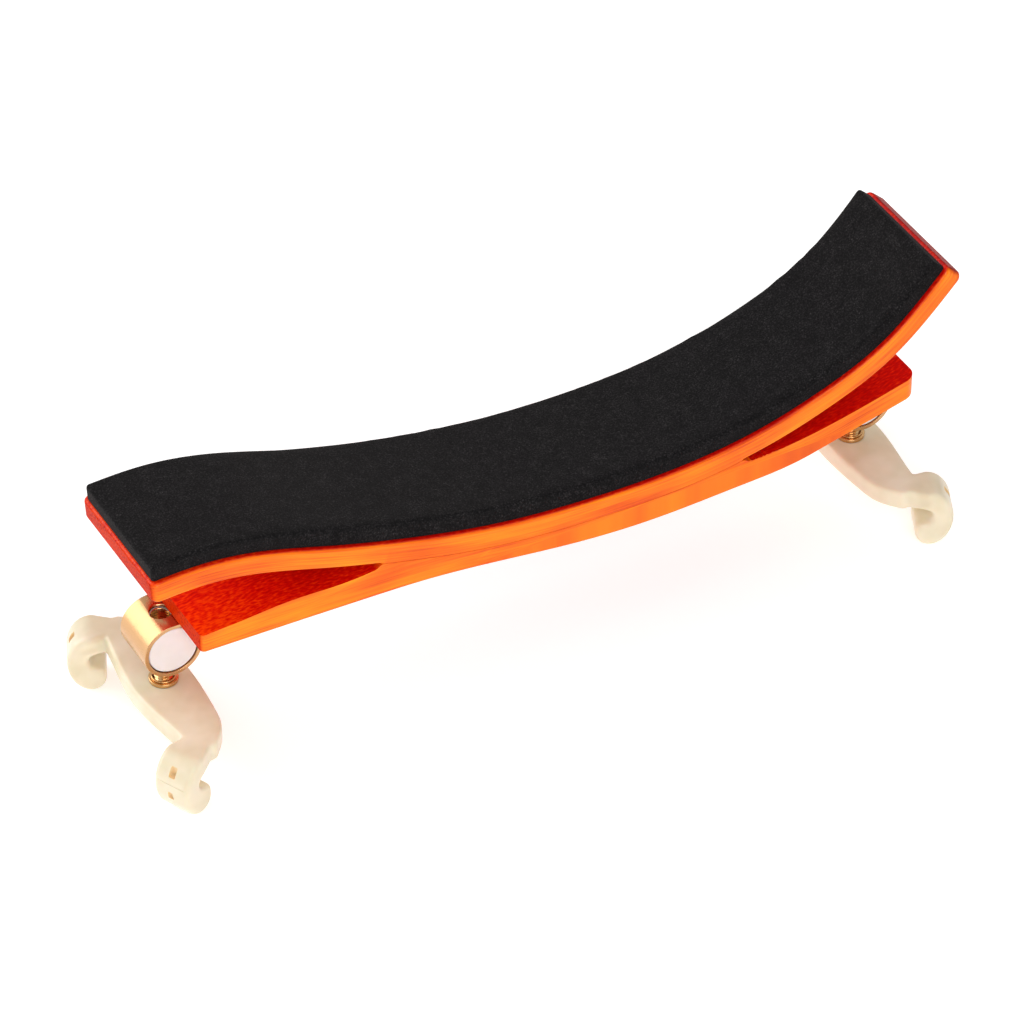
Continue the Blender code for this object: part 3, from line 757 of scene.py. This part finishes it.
def inflate(piece, held, pressure, cap):
    """Let a closed piece swell like cloth for a few frames, and keep it within a cap."""
    before = [v.co.copy() for v in piece.data.vertices]
    pins = piece.vertex_groups.new(name="held")
    pins.add(held, 1.0, 'REPLACE')
    cloth = piece.modifiers.new("swell", 'CLOTH')
    cloth.settings.use_pressure = True
    cloth.settings.uniform_pressure_force = pressure
    cloth.settings.vertex_group_mass = "held"
    cloth.settings.effector_weights.gravity = 0
    cloth.point_cache.frame_end = SWELL_FRAMES
    for number in range(1, SWELL_FRAMES + 1):
        bpy.context.scene.frame_set(number)
    settle(piece)
    bpy.context.scene.frame_set(1)
    for vert, start in zip(piece.data.vertices, before):
        move = vert.co - start
        if move.length > cap:
            vert.co = start + move * (cap / move.length)
    piece.vertex_groups.clear()


def build_pad():
    """The foam pad, cut flat, bent, and swelled a little."""
    length = UPPER_LENGTH - 2 * PAD_END_INSET
    width = PLATE_WIDTH - 2 * PAD_SIDE_INSET
    low = PAD_LIFT - PAD_SINK
    shape = flat_board(length, width, low, low + PAD_THICKNESS, PAD_CORNER_ROUND,
                       PAD_CORNER_ROUND)
    rounded(shape, PAD_EDGE_ROUND, 4,
            lambda e: min(v.co.z for v in e.verts) > low + PAD_THICKNESS / 2)
    sliced(shape, 0, np.linspace(0, length, 170)[1:-1])
    sliced(shape, 1, np.linspace(-width / 2, width / 2, 28)[1:-1])
    for vert in shape.verts:
        vert.co = bend(vert.co + Vector((PAD_END_INSET, 0, 0)))
    pad = to_object("napped_foam_pad", shape, foam)
    under = [v.index for v in pad.data.vertices if v.normal.z < -0.5]
    inflate(pad, under, SWELL_PRESSURE, SWELL_CAP)
    seat(pad, "rest", "foam_pad")


build_pad()

# %% [markdown]
# Each strap is one brass strip, rolled round its barrel until the end meets the underside
# of the tongue, so its side outline is an open C with a tail. The side edges were tumbled
# and have a small round. A hole top and bottom lets the stud through, and two more take the
# screws. The barrel's ends are just inside the ring, with the dark line of the gap round
# them, and its bore is lined with brass and tapped.

# %% Straps and barrels
STRAP_THICKNESS = 1.05 * MM
STRAP_WIDTH = 13.8 * MM
TONGUE_LENGTH = 21.5 * MM
SCREW_PLACES = (10.6 * MM, 17.6 * MM)
STUD_RADIUS = 2.4 * MM
THREAD_PITCH = 0.8 * MM
THREAD_DEPTH = 0.42 * MM
BORE_RIDGE = CLEARANCE * 0.6  # less than the clearance, so the stud never touches it
ROLL_GAP = 0.12 * MM  # between the strip's end and its tongue
STRIP_EDGE_ROUND = 0.16 * MM
HOLE_RIM = (0.45 * MM, 0.75 * MM)  # how wide and deep the stud's hole is countersunk
SCREW_HOLE = 1.6 * MM
BARREL_GAP = 0.2 * MM
BARREL_SINK = 0.3 * MM  # how far a barrel's ends are inside the ring
BARREL_EDGE_ROUND = 0.35 * MM


def stand(side):
    """Where a side's stud stands. -X of it points outboard."""
    half_turn = 0 if side == "left" else math.pi
    return Matrix.Translation((stud[side].x, 0, 0)) @ Matrix.Rotation(half_turn, 4, 'Z')


def ring_place(side):
    """The middle of a side's ring, tilted as its strap is."""
    return (stand(side) @ Matrix.Translation((0, 0, AXIS))
            @ Matrix.Rotation(TILT[side], 4, 'Y'))


def rod(radius, low, high, steps=64):
    """A plain round rod along Z."""
    return turned([(0, low), (radius, low), (radius, high), (0, high)], steps)


def tapped_hole(radius, low, high):
    """A tool for a threaded hole: a rod with a ridge at every pitch."""
    profile = [(0, low)]
    for z in np.arange(low, high, THREAD_PITCH):
        profile += [(radius - BORE_RIDGE, z), (radius, z + THREAD_PITCH / 2)]
    return turned(profile + [(0, z + THREAD_PITCH / 2)], 40)


def build_strap(side):
    """The rolled strap of one side."""
    inner = RING_RADIUS - STRAP_THICKNESS
    meets = math.degrees(math.asin((inner - ROLL_GAP) / RING_RADIUS))
    outline = ([(TONGUE_LENGTH, RING_RADIUS)]
               + arc((0, 0), RING_RADIUS, 90, 360 + meets, 110)
               + arc((0, 0), inner, 360 + meets, 90, 110)
               + [(TONGUE_LENGTH, inner)])
    shape = drawn(outline, -STRAP_WIDTH / 2, STRAP_WIDTH / 2)
    rounded(shape, STRIP_EDGE_ROUND, 3, least=50)
    strap = to_object(f"{side}_rolled_strap", placed(shape, ring_place(side)), strap_brass)
    upright = stand(side) @ Matrix.Translation((0, 0, AXIS))
    hole = STUD_RADIUS + CLEARANCE
    wide, deep = HOLE_RIM
    brim = [(0, -2 * RING_RADIUS), (hole, -2 * RING_RADIUS), (hole, RING_RADIUS - deep),
            (hole + wide, RING_RADIUS), (hole + wide, 2 * RING_RADIUS),
            (0, 2 * RING_RADIUS)]
    carve(strap, placed(turned(brim, 64), upright))
    for along in SCREW_PLACES:
        spot = ring_place(side) @ Matrix.Translation((along, 0, RING_RADIUS))
        carve(strap, placed(rod(SCREW_HOLE, -2 * MM, 2 * MM, 32), spot))
    even_normals(strap)
    seat(strap, "rest", f"{side}_strap")


def build_barrel(side):
    """The nylon barrel in a ring, with the tapped bore the stud runs in."""
    radius = RING_RADIUS - STRAP_THICKNESS - BARREL_GAP
    reach = STRAP_WIDTH / 2 - BARREL_SINK
    shape = rounded(rod(radius, -reach, reach, 96), BARREL_EDGE_ROUND, 4)
    lying = (stand(side) @ Matrix.Translation((0, 0, AXIS))
             @ Matrix.Rotation(math.pi / 2, 4, 'X'))
    barrel = to_object(f"{side}_turned_barrel", placed(shape, lying), nylon)
    barrel.data.materials.append(turned_brass)
    bore = tapped_hole(STUD_RADIUS + CLEARANCE, -2 * RING_RADIUS, 2 * RING_RADIUS)
    for face in bore.faces:
        face.material_index = 1
    carve(barrel, placed(bore, stand(side) @ Matrix.Translation((0, 0, AXIS))))
    even_normals(barrel)
    seat(barrel, "rest", f"{side}_barrel")


for side in SIDES:
    build_strap(side)
    build_barrel(side)

# %% [markdown]
# The studs are threaded brass rod. One pitch of the thread's profile is spun round the axis
# while it climbs by a pitch a turn, so each turn lands on the last and the doubles merge into
# one long screw. The ends are sawn off square with a plane.

# %% Studs
STUD_END = AXIS + 1.2 * MM
STUD_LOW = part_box("left_stud")[0].z
TURN_STEPS = 28


def build_stud(side):
    """A threaded rod, sawn to length."""
    root = STUD_RADIUS - THREAD_DEPTH
    profile = [(root, 0), (root + THREAD_DEPTH * 0.3, 0.12), (STUD_RADIUS, 0.4),
               (STUD_RADIUS, 0.55), (root + THREAD_DEPTH * 0.3, 0.83), (root, 1)]
    shape = bmesh.new()
    verts = [shape.verts.new((radius, 0, share * THREAD_PITCH)) for radius, share in profile]
    edges = [shape.edges.new(pair) for pair in zip(verts, verts[1:])]
    turns = math.ceil((STUD_END - STUD_LOW) / THREAD_PITCH) + 3
    bmesh.ops.spin(shape, geom=verts + edges, axis=(0, 0, 1), cent=(0, 0, 0),
                   angle=2 * math.pi * turns, steps=TURN_STEPS * turns,
                   dvec=(0, 0, THREAD_PITCH / TURN_STEPS))
    bmesh.ops.remove_doubles(shape, verts=shape.verts, dist=0.005 * MM)
    drop = STUD_LOW - 1.5 * THREAD_PITCH
    bmesh.ops.translate(shape, verts=shape.verts, vec=(0, 0, drop))
    for height, outward in ((STUD_LOW, -1), (STUD_END, 1)):
        bmesh.ops.bisect_plane(shape, geom=shape.verts[:] + shape.edges[:] + shape.faces[:],
                               plane_co=(0, 0, height), plane_no=(0, 0, outward),
                               clear_outer=True)
    rims = [e for e in shape.edges if e.is_boundary]
    bmesh.ops.holes_fill(shape, edges=rims, sides=0)
    bmesh.ops.recalc_face_normals(shape, faces=shape.faces)
    open_edges = sum(not e.is_manifold for e in shape.edges)
    made = to_object(f"{side}_threaded_stud", placed(shape, stand(side)), turned_brass)
    print(f"{made.name}: {turns} turns, {open_edges} open edges")
    seat(made, f"{side}_foot_assembly", f"{side}_stud")


for side in SIDES:
    build_stud(side)

# %% [markdown]
# The flanged insert, the washer and the wood screws are turned pieces. Each is half a
# profile spun round its axis, with its corners broken as a lathe tool leaves them. The
# screws' heads get the cross recess that a driver fits.

# %% Turned brass pieces
FLANGE_SEAT = 16.93 * MM
FLANGE_THICKNESS = 1.0 * MM
FLANGE_TRIM = 0.25 * MM  # how much less than its plain solid a flange reaches
INSERT_RADIUS = 3.4 * MM
WASHER_TRIM = 0.4 * MM
WASHER_THICKNESS = 0.4 * MM
WASHER_LIFT = 0.05 * MM
TURNED_EDGE_ROUND = 0.16 * MM
HEAD_RADIUS = 2.5 * MM
HEAD_HEIGHT = 1.5 * MM
SHANK_RADIUS = 1.3 * MM
SHANK_STRAIGHT = 2.3 * MM
SHANK_TIP = 3.6 * MM
RECESS = (2.8 * MM, 0.55 * MM, 1.6 * MM)  # one arm of the cross in a screw's head


def ring_profile(bore, radius, low, high):
    """The section of a plain ring."""
    return [(bore, low), (radius, low), (radius, high), (bore, high)]


def build_turned(side):
    """A side's flanged insert, its washer and its two wood screws."""
    bore = STUD_RADIUS + CLEARANCE
    for node, body in (("flange_insert", "foot_assembly"), ("washer", "lift")):
        low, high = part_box(f"{side}_{node}")
        radius = (high.y - low.y) / 2 - FLANGE_TRIM
        top = FLANGE_SEAT + FLANGE_THICKNESS
        if node == "washer":
            seat_height = top + WASHER_LIFT
            profile = ring_profile(bore, radius - WASHER_TRIM, seat_height,
                                   seat_height + WASHER_THICKNESS)
        else:
            profile = [(bore, low.z), (INSERT_RADIUS, low.z), (INSERT_RADIUS, FLANGE_SEAT),
                       (radius, FLANGE_SEAT), (radius, top), (bore, top)]
        shape = rounded(turned(profile, 72), TURNED_EDGE_ROUND, 3)
        piece = to_object(f"{side}_turned_{node}", placed(shape, stand(side)), turned_brass)
        even_normals(piece)
        seat(piece, f"{side}_{body}", f"{side}_{node}")
    for number, along in enumerate(SCREW_PLACES, 1):
        under = -STRAP_THICKNESS - CLEARANCE
        head = [(HEAD_RADIUS * math.sin(a), under - HEAD_HEIGHT * math.cos(a))
                for a in np.linspace(0, math.pi / 2, 12)]
        profile = head + [(SHANK_RADIUS, under), (SHANK_RADIUS, SHANK_STRAIGHT),
                          (0, SHANK_TIP)]
        spot = ring_place(side) @ Matrix.Translation((along, 0, RING_RADIUS))
        screw = to_object(f"{side}_wood_screw_{number}", placed(turned(profile, 40), spot),
                          screw_brass)
        for angle in (0, math.pi / 2):
            blade = bmesh.new()
            bmesh.ops.create_cube(blade, size=1.0)
            size = Matrix.Diagonal((*RECESS, 1))
            drop = Matrix.Translation((0, 0, under - HEAD_HEIGHT))
            carve(screw, placed(blade, spot @ drop @ Matrix.Rotation(angle, 4, 'Z') @ size))
        seat(screw, "rest", f"{side}_strap_screw_{number}")


for side in SIDES:
    build_turned(side)

# %% [markdown]
# The feet are injection moulded. A bar lies across under the flange, bowed outboard, and a
# claw at each end curls down and back in as a hook for the violin's edge. Bar and claws are
# drawn from their own outlines, joined, remeshed fine and smoothed, which blends the joints
# the way a moulder's fillets do. Then the small marks are sunk, where pins held the core
# while the ivory plastic flowed round it; amber shows at the bottom of each. A fine line
# between them is where the mould's slide closed.

# %% Feet
BAR_TOP = 16.9 * MM
BAR_BOTTOM = 11.3 * MM
BAR_EDGE_ROUND = 2.3 * MM
CLAW_FROM_STUD = 8.4 * MM
CLAW_SPREAD = 27.0 * MM
CLAW_SPLAY = math.radians(25)
CLAW_WIDTH = 10.6 * MM
CLAW_REACH = 5.0 * MM
CLAW_BULGE = 6.5 * MM
CLAW_ROOT = 8.5 * MM
CLAW_EDGE_ROUND = 1.7 * MM
HOOK_INNER = 4.8 * MM
HOOK_HEIGHT = 7.0 * MM
HOOK_ROUND = 1.6 * MM
TOE_ROUND = 3.9 * MM
REMESH_STEP = 0.34 * MM
TAPER_START = 2.0 * MM  # from a claw's middle, where it narrows into the bar
TAPER = 0.45
WELL_RADIUS = 3.7 * MM
# The height of each mark in a claw's outer face, its size, its edge round in mm and its
# finish: two pin marks with amber in them, and the fine line between.
MARKS = ((13.9 * MM, (1.8, 1.9, 3.4), 0.35, 1), (7.0 * MM, (1.8, 1.6, 2.2), 0.35, 1),
         (10.4 * MM, (0.7, 8.0, 0.3), 0.1, 0))


def oval(centre, radii, start, end, count):
    """Points along part of an upright oval."""
    return [(centre[0] + radii[0] * math.cos(a), centre[1] + radii[1] * math.sin(a))
            for a in np.radians(np.linspace(start, end, count))]


def claw_outline():
    """One claw from its side: out from the bar, round, down, and back in as a hook."""
    half_height = BAR_TOP / 2
    toe_x = HOOK_INNER - TOE_ROUND
    throat = (BAR_BOTTOM - HOOK_HEIGHT) / 2
    return ([(CLAW_ROOT, BAR_TOP)]
            + oval((CLAW_BULGE - CLAW_REACH, half_height), (CLAW_BULGE, half_height),
                   90, 180, 26)
            + oval((toe_x, half_height), (toe_x + CLAW_REACH, half_height), 184, 270, 22)
            + arc((toe_x, TOE_ROUND), TOE_ROUND, 275, 360, 16)
            + arc((HOOK_INNER - HOOK_ROUND, HOOK_HEIGHT - HOOK_ROUND), HOOK_ROUND, 10, 90, 9)
            + arc((HOOK_INNER - throat, HOOK_HEIGHT + throat), throat, 265, 90, 18)
            + [(CLAW_ROOT, BAR_BOTTOM)])


def bar_outline():
    """The bar from above: bowed outboard at its middle, narrower at the claws."""
    tip = CLAW_SPREAD + 0.4 * MM
    inboard = spline([(0, 7.5 * MM), (16 * MM, 6.4 * MM), (22 * MM, 4.9 * MM),
                      (tip, 0.8 * MM)], 0)
    outboard = spline([(0, -8.5 * MM), (17 * MM, -6.4 * MM), (tip, -5.0 * MM)], 0)
    places = np.linspace(-tip, tip, 61)
    return ([(outboard(abs(y)), y) for y in places[::-1]]
            + [(inboard(abs(y)), y) for y in places])


def claw_place(end):
    """Where a claw's middle stands from the stud. -X of it points out of the claw."""
    middle = Matrix.Translation((-CLAW_FROM_STUD, end * CLAW_SPREAD, 0))
    return middle @ Matrix.Rotation(-end * CLAW_SPLAY, 4, 'Z')


def outer_face(height):
    """Where a claw's outer face is at a height, along X from the claw's middle."""
    rise = height / (BAR_TOP / 2) - 1
    reach = CLAW_BULGE if rise > 0 else HOOK_INNER - TOE_ROUND + CLAW_REACH
    return -CLAW_REACH + reach * (1 - math.sqrt(1 - rise * rise))


def soft_block(spot, size, edge):
    """A small block with rounded edges, as a tool for a mark."""
    shape = bmesh.new()
    bmesh.ops.create_cube(shape, size=1.0)
    fit = Matrix.Translation(spot) @ Matrix.Diagonal((*size, 1))
    return rounded(placed(shape, fit), edge, 3)


def build_foot(side):
    """A moulded foot: bar and claws blended together, with the pin marks sunk in."""
    place = stand(side)
    bar = rounded(drawn(bar_outline(), BAR_BOTTOM, BAR_TOP, upright=True),
                  BAR_EDGE_ROUND, 8)
    foot = to_object(f"{side}_moulded_foot", placed(bar, place), ivory)
    for end in (-1, 1):
        claw = rounded(drawn(claw_outline(), -CLAW_WIDTH / 2, CLAW_WIDTH / 2),
                       CLAW_EDGE_ROUND, 6)
        for vert in claw.verts:
            back_share = max(0, (vert.co.x - TAPER_START) / (CLAW_ROOT - TAPER_START))
            if vert.co.z > BAR_BOTTOM - 0.1 * MM:
                vert.co.y *= 1 - TAPER * back_share
        carve(foot, placed(claw, place @ claw_place(end)), operation='UNION')
    skin = foot.modifiers.new("fine_mesh", 'REMESH')
    skin.mode = 'VOXEL'
    skin.voxel_size = REMESH_STEP
    settle(foot)
    ease = foot.modifiers.new("fillets", 'SMOOTH')
    ease.factor = 0.5
    ease.iterations = 14
    settle(foot)
    well = rod(WELL_RADIUS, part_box(f"{side}_flange_insert")[0].z - CLEARANCE, BAR_TOP + MM)
    carve(foot, placed(well, place))
    foot.data.materials.clear()
    foot.data.materials.append(ivory)
    foot.data.materials.append(amber)
    for end in (-1, 1):
        for height, size, edge, finish in MARKS:
            spot = (outer_face(height) - 0.2 * MM, 0, height)
            tool = soft_block(spot, [s * MM for s in size], edge * MM)
            for face in tool.faces:
                face.material_index = finish
            carve(foot, placed(tool, place @ claw_place(end)))
    shade(foot.data, 40)
    seat(foot, f"{side}_foot_assembly", f"{side}_foot")


for side in SIDES:
    build_foot(side)
